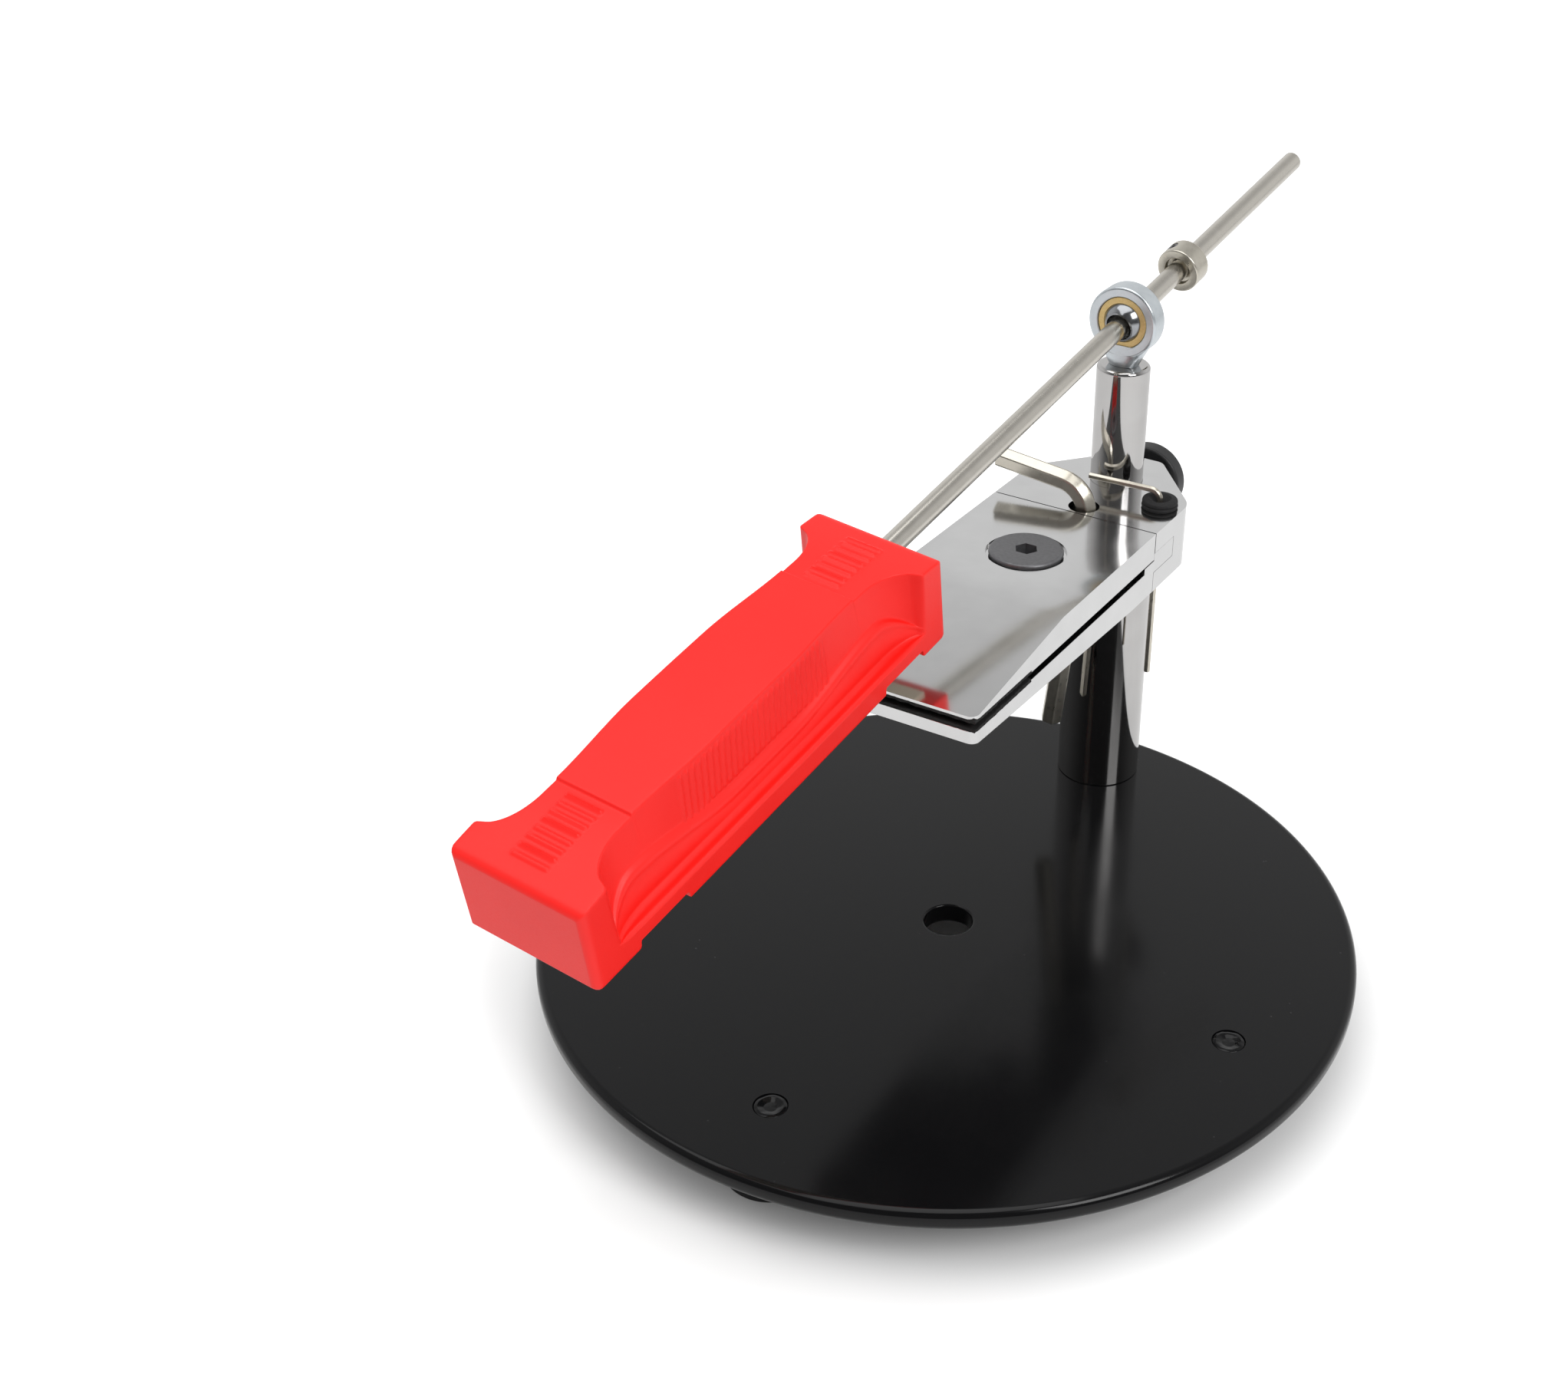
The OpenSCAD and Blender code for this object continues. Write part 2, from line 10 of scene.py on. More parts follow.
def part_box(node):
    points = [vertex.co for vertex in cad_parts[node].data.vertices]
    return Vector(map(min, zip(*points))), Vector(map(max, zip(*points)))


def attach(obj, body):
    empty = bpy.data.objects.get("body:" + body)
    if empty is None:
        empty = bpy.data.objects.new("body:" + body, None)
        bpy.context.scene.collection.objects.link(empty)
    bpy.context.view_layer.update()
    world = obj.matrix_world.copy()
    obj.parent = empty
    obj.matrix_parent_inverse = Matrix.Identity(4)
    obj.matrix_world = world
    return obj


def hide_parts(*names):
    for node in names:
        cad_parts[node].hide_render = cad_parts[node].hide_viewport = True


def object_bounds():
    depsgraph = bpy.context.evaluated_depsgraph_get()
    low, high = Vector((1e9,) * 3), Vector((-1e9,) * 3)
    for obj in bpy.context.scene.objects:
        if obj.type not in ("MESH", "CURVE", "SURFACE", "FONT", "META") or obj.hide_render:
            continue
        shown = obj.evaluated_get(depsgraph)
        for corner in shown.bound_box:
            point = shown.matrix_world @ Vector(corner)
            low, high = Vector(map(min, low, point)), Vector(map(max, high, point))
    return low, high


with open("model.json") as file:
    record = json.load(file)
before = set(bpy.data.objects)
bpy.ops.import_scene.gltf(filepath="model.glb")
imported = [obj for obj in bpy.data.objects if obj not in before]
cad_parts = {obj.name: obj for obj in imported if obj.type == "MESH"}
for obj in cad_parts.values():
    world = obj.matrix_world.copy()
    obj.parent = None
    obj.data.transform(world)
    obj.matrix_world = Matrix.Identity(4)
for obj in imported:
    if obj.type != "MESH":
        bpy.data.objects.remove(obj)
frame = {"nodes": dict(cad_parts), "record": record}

cad_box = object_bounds()


# The studio: a camera in front of the jaws and to their right, a broad soft light overhead,
# a smaller one to the right, and a white sweep that the tool stands on.
def linear(colour):
    channels = [int(colour[i:i + 2], 16) / 255 for i in (1, 3, 5)]
    return [c / 12.92 if c <= 0.04045 else ((c + 0.055) / 1.055) ** 2.4 for c in channels] + [1.0]


def add(tree, kind, sockets, **settings):
    node = tree.nodes.new("ShaderNode" + kind)
    for name, value in settings.items():
        setattr(node, name, value)
    for name, value in sockets.items():
        if isinstance(value, bpy.types.NodeSocket):
            tree.links.new(value, node.inputs[name])
        else:
            node.inputs[name].default_value = value
    return node


def start(name, **shader):
    made = bpy.data.materials.new(name)
    made.use_nodes = True
    tree = made.node_tree
    surface = tree.nodes["Principled BSDF"]
    for socket, value in shader.items():
        surface.inputs[socket.replace("_", " ")].default_value = value
    place = add(tree, "TexCoord", {}).outputs["Object"]
    return made, tree, surface, place


scene = bpy.context.scene
camera = bpy.data.objects.new("camera", bpy.data.cameras.new("camera"))
scene.collection.objects.link(camera)
scene.camera = camera
stand = Vector((0.1988, -0.3585, 0.3095))
look = Vector((-0.4065, 0.7583, -0.5097)).normalized()
across = look.cross(Vector((-0.2679, 0.4344, 0.8600))).normalized()
over = across.cross(look)
camera.matrix_world = Matrix.Translation(stand) @ Matrix((across, over, -look)).transposed().to_4x4()
camera.data.lens = 47.5
camera.data.sensor_width = 36
camera.data.shift_x = -0.1245
camera.data.shift_y = -0.0025
camera.data.clip_start = 0.01
scene.view_settings.view_transform = "Standard"

world = bpy.data.worlds.new("studio")
scene.world = world
world.use_nodes = True
sky = world.node_tree
sky.nodes.clear()
outward = add(sky, "TexCoord", {}).outputs["Generated"]
heading = add(sky, "SeparateXYZ", {0: outward})
low_wall = add(sky, "MapRange", {"Value": heading.outputs["Z"], "From Min": 0.45, "From Max": 0.95,
                                 "To Min": 0.85, "To Max": 0.4}, interpolation_type="SMOOTHSTEP")
room_front = (0.47, -0.88, 0.0)
near_side = add(sky, "VectorMath", {0: outward, 1: room_front}, operation="DOT_PRODUCT")
dark_side = add(sky, "MapRange", {"Value": near_side.outputs["Value"], "From Min": -0.5,
                                  "From Max": 0.75, "To Min": 1.0, "To Max": 0.15},
                interpolation_type="SMOOTHSTEP")
mirrored = add(sky, "Math", {0: low_wall.outputs[0], 1: dark_side.outputs[0]}, operation="MULTIPLY")
rays = add(sky, "LightPath", {})
is_mirror = add(sky, "Mix", {"Factor": rays.outputs["Is Glossy Ray"], "A": 0.8,
                             "B": mirrored.outputs[0]})
level = add(sky, "Mix", {"Factor": rays.outputs["Is Camera Ray"], "A": is_mirror.outputs[0], "B": 1.0})
glow = add(sky, "Background", {"Color": (1, 1, 1, 1), "Strength": level.outputs[0]})
add(sky, "OutputWorld", {"Surface": glow.outputs[0]})

lamp_aim = Vector((0, 0, 0.03))
for name, spot, size, power in (("overhead", (-0.15, -0.15, 1.25), 1.2, 8.6),
                                ("right", (0.85, -0.25, 0.8), 0.5, 6.0)):
    lamp = bpy.data.lights.new(name, "AREA")
    lamp.shape = "SQUARE"
    lamp.size = size
    lamp.energy = power
    light = bpy.data.objects.new(name, lamp)
    scene.collection.objects.link(light)
    light.location = spot
    light.rotation_euler = (lamp_aim - Vector(spot)).to_track_quat("-Z", "Y").to_euler()

sweep_half = 4.0
floor_z = cad_box[0].z
sweep = bpy.data.meshes.new("sweep")
sweep_corners = ((-1, -1), (1, -1), (1, 1), (-1, 1))
sweep.from_pydata([(x * sweep_half, y * sweep_half, floor_z) for x, y in sweep_corners], [], [(0, 1, 2, 3)])
floor = bpy.data.objects.new("sweep", sweep)
scene.collection.objects.link(floor)

# Matt white paper. Seen directly it has a painted glow: none within 85 mm of the middle, full from 170 mm
# out. This paints a shadow that darkens the paper round the tool, on top of the real soft shadow that the
# lamps cast.
paper, tree, surface, place = start("white_paper_painted_glow", Roughness=0.9, Specular_IOR_Level=0.0,
                                    Emission_Color=(1, 1, 1, 1))
fibre = add(tree, "TexNoise", {"Vector": place, "Scale": 40.0})
tint = add(tree, "Mix", {"Factor": fibre.outputs[0], "A": linear("#dcdcdc"), "B": linear("#e2e2e2")},
           data_type="RGBA")
tree.links.new(tint.outputs["Result"], surface.inputs["Base Color"])
# Painted shadow: the glow is seen only by the camera and fades to nothing towards the tool.
from_middle = add(tree, "VectorMath", {0: place}, operation="LENGTH")
glow_outside_painted_shadow = add(tree, "MapRange", {"Value": from_middle.outputs["Value"], "From Min": 0.085,
                                    "From Max": 0.17, "To Min": 0.0, "To Max": 0.42})
rays = add(tree, "LightPath", {})
painted_glow = add(tree, "Math", {0: rays.outputs["Is Camera Ray"], 1: glow_outside_painted_shadow.outputs[0]}, operation="MULTIPLY")
tree.links.new(painted_glow.outputs[0], surface.inputs["Emission Strength"])
sweep.materials.append(paper)


# The base is a 5 mm steel disc, pressed with a round edge, drilled in the middle and for its
# feet, and stoved in gloss black enamel.
MM = 0.001
ROUND_STEPS = 6


def rounded(corners, closed=False):
    points = []
    for i, (x, y, radius) in enumerate(corners):
        here = Vector((x, y))
        if radius == 0 or (not closed and i in (0, len(corners) - 1)):
            points.append(here)
            continue
        before = (Vector(corners[i - 1][:2]) - here).normalized()
        after = (Vector(corners[(i + 1) % len(corners)][:2]) - here).normalized()
        half = before.angle(after) / 2
        centre = here + (before + after).normalized() * radius / math.sin(half)
        first = here + before * radius / math.tan(half) - centre
        last = here + after * radius / math.tan(half) - centre
        turn = math.atan2(last.y, last.x) - math.atan2(first.y, first.x)
        turn = (turn + math.pi) % (2 * math.pi) - math.pi
        for k in range(ROUND_STEPS + 1):
            points.append(centre + Matrix.Rotation(turn * k / ROUND_STEPS, 2) @ first)
    return points


def new_piece(name, mesh):
    piece = bpy.data.objects.new(name, mesh)
    scene.collection.objects.link(piece)
    return piece


def turned(name, corners, where=Matrix.Identity(4), around=144):
    ring = corners[0][0] > 0
    profile = rounded(corners, closed=ring)
    shape = bmesh.new()
    columns = []
    for i in range(around):
        spin = Matrix.Rotation(2 * math.pi * i / around, 4, "Z")
        columns.append([shape.verts.new(where @ spin @ (Vector((p.x, 0, p.y)) * MM)) for p in profile])
    for i in range(around):
        here, beside = columns[i], columns[(i + 1) % around]
        for k in range(len(profile) if ring else len(profile) - 1):
            n = (k + 1) % len(profile)
            shape.faces.new((here[k], beside[k], beside[n], here[n]))
    bmesh.ops.remove_doubles(shape, verts=shape.verts, dist=1e-7)
    bmesh.ops.recalc_face_normals(shape, faces=shape.faces)
    mesh = bpy.data.meshes.new(name)
    shape.to_mesh(mesh)
    shape.free()
    return new_piece(name, mesh)


def finish(piece, material, body, nodes, edge=0.0, crease=33):
    mesh = piece.data
    mesh.materials.clear()
    mesh.materials.append(material)
    mesh.shade_smooth()
    if edge:
        bevel = piece.modifiers.new("edges", "BEVEL")
        bevel.width = edge * MM
        bevel.segments = 3
        bevel.limit_method = "ANGLE"
        bevel.angle_limit = math.radians(32)
    else:
        mesh.set_sharp_from_angle(angle=math.radians(crease))
    flat = piece.modifiers.new("flat_faces", "WEIGHTED_NORMAL")
    flat.keep_sharp = True
    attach(piece, body)
    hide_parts(*nodes)


def cut(piece, cutter):
    hole = piece.modifiers.new("hole", "BOOLEAN")
    hole.operation = "DIFFERENCE"
    hole.solver = "EXACT"
    hole.object = cutter
    bpy.context.view_layer.update()
    result = bpy.data.meshes.new_from_object(piece.evaluated_get(bpy.context.evaluated_depsgraph_get()))
    piece.modifiers.clear()
    piece.data = result
    bpy.data.objects.remove(cutter)


plate_r, plate_t, plate_edge = 100.0, 5.0, 2.0
hole_r, rivet_ring, rivet_seat_r, rivet_seat = 6.0, 78.0, 3.95, 0.9
rivet_turns = (-90.0, -4.8, 184.8)
plate = turned("base_disc", [(hole_r, 0, 0.5), (plate_r, 0, plate_edge), (plate_r, -plate_t, plate_edge),
                             (hole_r, -plate_t, 0.5)], around=288)
rivet_spots = [Matrix.Rotation(math.radians(a), 4, "Z") @ Matrix.Translation((rivet_ring * MM, 0, 0))
               for a in rivet_turns]
for spot in rivet_spots:
    cut(plate, turned("seat", [(0, 1, 0), (rivet_seat_r, 1, 0), (rivet_seat_r, -rivet_seat, 0),
                               (0, -rivet_seat, 0)], spot, 48))

# Stoved enamel: near black under a hard gloss, with a faint orange peel and a little dust.
enamel, tree, surface, place = start("gloss_black_stoving_enamel", Roughness=0.13, Specular_IOR_Level=0.22)
peel = add(tree, "TexNoise", {"Vector": place, "Scale": 1 / (3.0 * MM), "Detail": 2.0})
dust = add(tree, "TexVoronoi", {"Vector": place, "Scale": 1 / (3.5 * MM), "Randomness": 1.0})
speck = add(tree, "MapRange", {"Value": dust.outputs["Distance"], "From Min": 0.05, "From Max": 0.075,
                               "To Min": 1.0, "To Max": 0.0})
patch = add(tree, "TexNoise", {"Vector": place, "Scale": 1 / (16.0 * MM), "Detail": 1.0})
some = add(tree, "MapRange", {"Value": patch.outputs[0], "From Min": 0.54, "From Max": 0.66})
grit = add(tree, "Math", {0: speck.outputs[0], 1: some.outputs[0]}, operation="MULTIPLY")
tint = add(tree, "Mix", {"Factor": grit.outputs[0], "A": linear("#0b0b0c"), "B": linear("#2c2c2d")},
           data_type="RGBA")
tree.links.new(tint.outputs["Result"], surface.inputs["Base Color"])
haze = add(tree, "MapRange", {"Value": patch.outputs[0], "To Min": 0.10, "To Max": 0.19})
tree.links.new(haze.outputs[0], surface.inputs["Roughness"])
height = add(tree, "Math", {0: grit.outputs[0], 1: 1.5, 2: peel.outputs[0]}, operation="MULTIPLY_ADD")
relief = add(tree, "Bump", {"Height": height.outputs[0], "Strength": 0.10, "Distance": 0.02 * MM})
tree.links.new(relief.outputs[0], surface.inputs["Normal"])
finish(plate, enamel, "base", ["base_plate"])


# Three steel rivets hold the front and side feet: each is swaged into the plate from above,
# leaving a ring and a dished middle that the enamel then covers.
rivets = turned("swaged_rivets", [(0, -0.34, 0), (1.5, -0.42, 0.3), (2.35, -0.16, 0.2), (2.9, -0.02, 0.3),
                                  (3.75, -0.18, 0.25), (3.75, -0.85, 0), (0, -0.85, 0)], rivet_spots[0], 64)
joined = bmesh.new()
joined.from_mesh(rivets.data)
for spot in rivet_spots[1:]:
    more = rivets.data.copy()
    more.transform(spot @ rivet_spots[0].inverted())
    joined.from_mesh(more)
    bpy.data.meshes.remove(more)
dented = 0.12
for vert in joined.verts:
    if vert.co.z > -0.5 * MM:
        vert.co.z = min(0.0, vert.co.z + dented * MM * noise.noise(vert.co / (1.3 * MM)))
washer_z, dome_low, dome_r, stem_r, stem_top = -10.2, -12.2, 4.8, 2.5, -0.8
lumps = (("stem", washer_z, stem_top, stem_r, 0), ("dome", dome_low, washer_z, dome_r, 1.2))
for spot in rivet_spots:
    for name, low, high, r, edge in lumps:
        lump = turned(name, [(0, low, 0), (r, low, edge), (r, high, 0), (0, high, 0)], spot, 48)
        joined.from_mesh(lump.data)
        bpy.data.objects.remove(lump)
joined.to_mesh(rivets.data)
joined.free()
finish(rivets, enamel, "base", ["foot_rivets"])


# Four moulded rubber feet with a slight taper and a round lower edge. Each is hollow below,
# where its rivet's or screw's head sits on a washer.
# Moulded rubber: matt charcoal with a fine grain that takes the light softly.
rubber, tree, surface, place = start("moulded_black_rubber", Roughness=0.72, Specular_IOR_Level=0.35)
grain = add(tree, "TexNoise", {"Vector": place, "Scale": 1 / (0.6 * MM), "Detail": 4.0})
tint = add(tree, "Mix", {"Factor": grain.outputs[0], "A": linear("#101011"), "B": linear("#202021")},
           data_type="RGBA")
tree.links.new(tint.outputs["Result"], surface.inputs["Base Color"])
relief = add(tree, "Bump", {"Height": grain.outputs[0], "Strength": 0.5, "Distance": 0.08 * MM})
tree.links.new(relief.outputs[0], surface.inputs["Normal"])

joints = {joint["name"]: joint for joint in frame["record"]["behaviour"]["joints"]}
post_y = joints["ball_tilt"]["pos_m"][1]
post_spot = Matrix.Translation((0, post_y, 0))
feet = {"foot_front": (rivet_spots[0], 5.7), "foot_right": (rivet_spots[1], 5.7),
        "foot_left": (rivet_spots[2], 5.7), "foot_rear": (post_spot, 8.5)}
foot_r, sole_r, foot_bore, sole, web = 12.0, 11.2, 2.6, cad_box[0].z / MM, -plate_t - 4.0
for node, (spot, recess) in feet.items():
    foot = turned("rubber_" + node, [(foot_bore, -plate_t, 0), (foot_r, -plate_t, 0.3), (sole_r, sole, 1.3),
                                     (recess, sole, 0.6), (recess, web, 0.3), (foot_bore, web, 0)], spot, 96)
    finish(foot, rubber, "base", [node])


# Washers, the M8 screw that holds the post, and the fulcrum pin and knob stud are bought
# steel parts, zinc plated. They keep the CAD's shape, because next to nothing of them shows.
# Zinc-plated steel: a cool, slightly cloudy grey metal.
zinc, tree, surface, place = start("bright_zinc_plate", Metallic=1.0, Roughness=0.32)
cloud = add(tree, "TexNoise", {"Vector": place, "Scale": 1 / (1.6 * MM), "Detail": 4.0})
tint = add(tree, "Mix", {"Factor": cloud.outputs[0], "A": linear("#bcc4c9"), "B": linear("#d8dde0")},
           data_type="RGBA")
tree.links.new(tint.outputs["Result"], surface.inputs["Base Color"])
spangle = add(tree, "MapRange", {"Value": cloud.outputs[0], "To Min": 0.24, "To Max": 0.42})
tree.links.new(spangle.outputs[0], surface.inputs["Roughness"])
relief = add(tree, "Bump", {"Height": cloud.outputs[0], "Strength": 0.25, "Distance": 0.03 * MM})
tree.links.new(relief.outputs[0], surface.inputs["Normal"])


def coat(node, material):
    part = frame["nodes"][node]
    if not part.material_slots:
        part.data.materials.append(material)
    for place_for in part.material_slots:
        place_for.link = "OBJECT"
        place_for.material = material


for node in ("foot_washers", "post_washer", "post_screw", "jaw_fulcrum_pin", "lock_knob_stud"):
    coat(node, zinc)


# The post is a turned steel column with a bore for the sliding rod, polished and chrome
# plated. It stands on the plate and its top sits in the clamp block.
# Mirror chrome: a nearly colourless mirror with faint turning marks and wipe haze.
chrome, tree, surface, place = start("polished_chrome_plate", Metallic=1.0, Roughness=0.07)
haze = add(tree, "TexNoise", {"Vector": place, "Scale": 1 / (9.0 * MM), "Detail": 3.0})
tint = add(tree, "Mix", {"Factor": haze.outputs[0], "A": linear("#b3b1b0"), "B": linear("#c0bfbe")},
           data_type="RGBA")
tree.links.new(tint.outputs["Result"], surface.inputs["Base Color"])
soft = add(tree, "MapRange", {"Value": haze.outputs[0], "To Min": 0.04, "To Max": 0.11})
tree.links.new(soft.outputs[0], surface.inputs["Roughness"])
rings = add(tree, "TexWave", {"Vector": place, "Scale": 1 / (2.0 * MM), "Distortion": 1.5},
            bands_direction="Z")
relief = add(tree, "Bump", {"Height": rings.outputs["Fac"], "Strength": 0.03, "Distance": 0.01 * MM})
tree.links.new(relief.outputs[0], surface.inputs["Normal"])

post_r, post_foot, post_top, bore_r, bore_floor, thread_r = 11.0, 0.02, 76.0, 6.8, 15.5, 4.0
post = turned("chrome_post", [(thread_r, post_foot, 0), (post_r, post_foot, 0.3), (post_r, post_top, 0.2),
                              (bore_r, post_top, 0.2), (bore_r, bore_floor, 0), (thread_r, bore_floor, 0)],
              post_spot)
finish(post, chrome, "base", ["post"])


# The clamp block: 16 mm steel, milled with the post's socket, a slot for the lower jaw's
# tongue and holes for the knob's stud and the two keys, then linished and chrome plated.
def from_cad(name, node):
    shape = bmesh.new()
    shape.from_mesh(frame["nodes"][node].data)
    bmesh.ops.remove_doubles(shape, verts=shape.verts, dist=2e-6)
    bmesh.ops.dissolve_limit(shape, angle_limit=math.radians(0.6), verts=shape.verts, edges=shape.edges)
    bmesh.ops.recalc_face_normals(shape, faces=shape.faces)
    mesh = bpy.data.meshes.new(name)
    shape.to_mesh(mesh)
    shape.free()
    for layer in ("custom_normal", "sharp_edge", "sharp_face"):
        if layer in mesh.attributes:
            mesh.attributes.remove(mesh.attributes[layer])
    return new_piece(name, mesh)


# Chrome over a linished face: a slightly blurred mirror with faint lines along the grinding.
plated, tree, surface, place = start("chrome_over_linished_steel", Metallic=1.0, Roughness=0.12)
along = add(tree, "Mapping", {"Vector": place, "Scale": (1.0, 0.04, 1.0)})
scratch = add(tree, "TexNoise", {"Vector": along.outputs[0], "Scale": 1 / (0.35 * MM), "Detail": 3.0})
haze = add(tree, "TexNoise", {"Vector": place, "Scale": 1 / (7.0 * MM), "Detail": 3.0})
tint = add(tree, "Mix", {"Factor": haze.outputs[0], "A": linear("#c9c9c9"), "B": linear("#d4d4d4")},
           data_type="RGBA")
tree.links.new(tint.outputs["Result"], surface.inputs["Base Color"])
soft = add(tree, "MapRange", {"Value": haze.outputs[0], "To Min": 0.09, "To Max": 0.16})
tree.links.new(soft.outputs[0], surface.inputs["Roughness"])
relief = add(tree, "Bump", {"Height": scratch.outputs[0], "Strength": 0.05, "Distance": 0.01 * MM})
tree.links.new(relief.outputs[0], surface.inputs["Normal"])

block = from_cad("clamp_block", "rear_block")
finish(block, plated, "base", ["rear_block"], edge=0.35)


# The lower jaw is milled from the same steel. Its tongue fits the block's slot, where the
# large key's leg pins it, and its underside thins towards the tip.
jaw = from_cad("jaw_below", "lower_jaw")
finish(jaw, plated, "base", ["lower_jaw"], edge=0.3)


# The upper jaw lies over the fulcrum pin and is pulled down in front of it by the screw.
# Its nose is ground to a long slope so that the stone clears it.
jaw = from_cad("jaw_above", "upper_jaw")
finish(jaw, plated, "upper_jaw", ["upper_jaw"], edge=0.3)


# Two rubber sheets glued inside the tips grip the blade. They were cut by hand, so their
# edges are ragged.
# Scuffed sheet rubber: dull black with paler scuffs and a crumbly cut edge.
sheet_rubber, tree, surface, place = start("scuffed_sheet_rubber", Roughness=0.8, Specular_IOR_Level=0.3)
crumb = add(tree, "TexNoise", {"Vector": place, "Scale": 1 / (0.5 * MM), "Detail": 5.0})
tint = add(tree, "Mix", {"Factor": crumb.outputs[0], "A": linear("#0c0c0c"), "B": linear("#242424")},
           data_type="RGBA")
tree.links.new(tint.outputs["Result"], surface.inputs["Base Color"])
relief = add(tree, "Bump", {"Height": crumb.outputs[0], "Strength": 0.8, "Distance": 0.15 * MM})
tree.links.new(relief.outputs[0], surface.inputs["Normal"])


def ragged_sheet(name, node, body):
    low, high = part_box(node)
    step, wander = 0.45 * MM, 0.45 * MM
    rim = []
    for start_at, end_at in (((low.x, low.y), (high.x, low.y)), ((high.x, low.y), (high.x, high.y)),
                             ((high.x, high.y), (low.x, high.y)), ((low.x, high.y), (low.x, low.y))):
        a, b = Vector(start_at), Vector(end_at)
        count = int((b - a).length / step)
        rim += [a.lerp(b, i / count) for i in range(count)]
    middle = Vector(((low.x + high.x) / 2, (low.y + high.y) / 2))
    shape = bmesh.new()
    layers = []
    for share, out in ((0.0, -0.3), (0.3, 0.7), (0.65, 0.5), (1.0, -0.3)):
        z = low.z + (high.z - low.z) * share
        layer = []
        for p in rim:
            away = (p - middle).normalized()
            lump = noise.noise(Vector((p.x, p.y, z * 3)) / (1.1 * MM))
            q = p + away * wander * (lump * 0.9 + out * 0.4 - 0.1)
            layer.append(shape.verts.new((q.x, q.y, z)))
        layers.append(layer)
    for under, upper in zip(layers, layers[1:]):
        for i in range(len(rim)):
            n = (i + 1) % len(rim)
            shape.faces.new((under[i], under[n], upper[n], upper[i]))
    shape.faces.new(layers[0])
    shape.faces.new(layers[-1])
    bmesh.ops.recalc_face_normals(shape, faces=shape.faces)
    mesh = bpy.data.meshes.new(name)
    shape.to_mesh(mesh)
    shape.free()
    finish(new_piece(name, mesh), sheet_rubber, body, [node])


ragged_sheet("grip_sheet_below", "lower_pad", "base")
ragged_sheet("grip_sheet_above", "upper_pad", "upper_jaw")


# The clamp screw is an M8 countersunk socket screw in black oxide. Its rim stands a little
# proud in a ring cut into the upper jaw.
# Black oxide on steel: a slightly mottled charcoal with a soft metallic sheen.
oxide, tree, surface, place = start("black_oxide_steel", Metallic=0.75, Roughness=0.42)
bloom = add(tree, "TexNoise", {"Vector": place, "Scale": 1 / (0.8 * MM), "Detail": 5.0})
tint = add(tree, "Mix", {"Factor": bloom.outputs[0], "A": linear("#5c5c5e"), "B": linear("#767678")},
           data_type="RGBA")
tree.links.new(tint.outputs["Result"], surface.inputs["Base Color"])
relief = add(tree, "Bump", {"Height": bloom.outputs[0], "Strength": 0.3, "Distance": 0.03 * MM})
tree.links.new(relief.outputs[0], surface.inputs["Normal"])
screw_low, screw_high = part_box("clamp_screw")
screw_spot = Matrix.Translation(((screw_low.x + screw_high.x) / 2, (screw_low.y + screw_high.y) / 2, 0))
head_r, shank_r, head_top, screw_tip = 9.0, 4.0, screw_high.z / MM, screw_low.z / MM
head_cone, head_rim = head_top - 6, head_top - 1
screw = turned("countersunk_screw", [(0, screw_tip, 0), (shank_r, screw_tip, 0.7), (shank_r, head_cone, 0),
                                     (head_r, head_rim, 0.1), (head_r, head_top, 0.75),
                                     (0, head_top, 0)], screw_spot)
key_flats, socket_deep = 5.0, 3.0
socket_r = key_flats / 2 / math.cos(math.radians(30))
cut(screw, turned("socket", [(0, head_top + 1, 0), (socket_r, head_top + 1, 0),
                             (socket_r, head_top - socket_deep, 0), (0, head_top - socket_deep, 0)],
                  screw_spot, 6))
finish(screw, oxide, "clamp_screw", ["clamp_screw"])


# The angle rod slides in the post to set the sharpening angle. It is ground bar, chrome
# plated, with a rounded top edge and a thread in its end for the rod end.
rod_low, rod_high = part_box("angle_rod")
rod_r = (rod_high.x - rod_low.x) / 2 / MM
riser_low, riser_top, tapped_r, tapped_deep = rod_low.z / MM, rod_high.z / MM, 2.6, 3.0
riser = turned("angle_slide", [(0, riser_low, 0), (rod_r, riser_low, 0.4), (rod_r, riser_top, 1.1),
                               (tapped_r, riser_top, 0.2), (tapped_r, riser_top - tapped_deep, 0),
                               (0, riser_top - tapped_deep, 0)], post_spot)
finish(riser, chrome, "angle_rod", ["angle_rod"])


# The lock knob is a moulded black thumb nut on a steel stud that presses on the angle rod.
# Glass-filled nylon: black and satin, with a fine grain from the mould.
nylon, tree, surface, place = start("moulded_black_nylon", Roughness=0.45)
mould = add(tree, "TexNoise", {"Vector": place, "Scale": 1 / (0.7 * MM), "Detail": 4.0})
tint = add(tree, "Mix", {"Factor": mould.outputs[0], "A": linear("#0d0d0e"), "B": linear("#1b1b1d")},
           data_type="RGBA")
tree.links.new(tint.outputs["Result"], surface.inputs["Base Color"])
relief = add(tree, "Bump", {"Height": mould.outputs[0], "Strength": 0.3, "Distance": 0.04 * MM})
tree.links.new(relief.outputs[0], surface.inputs["Normal"])
knob_low, knob_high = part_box("lock_knob")
knob_r = (knob_high.x - knob_low.x) / 2 / MM
knob_z = (knob_high.z + knob_low.z) / 2
knob_deep = (knob_high.y - knob_low.y) / MM
knob_place = Matrix.Translation((0, knob_low.y, knob_z)) @ Matrix.Rotation(math.radians(-90), 4, "X")
stud_r, boss_r, boss_long, dish_r, dish, dish_wall = 2.5, 5.0, 2.2, 6.2, knob_deep - 0.6, knob_deep - 1.5
knob = turned("thumb_nut", [(stud_r, 0, 0), (boss_r, 0, 0.2), (boss_r, boss_long, 0.3),
                            (knob_r, boss_long, 0.7), (knob_r, knob_deep, 1.2),
                            (dish_r, knob_deep, 0.4), (dish_r - 0.6, dish, 0.4),
                            (0.01, dish, 0), (0.01, dish_wall, 0), (stud_r, dish_wall, 0)], knob_place)
finish(knob, nylon, "lock_knob", ["lock_knob"])


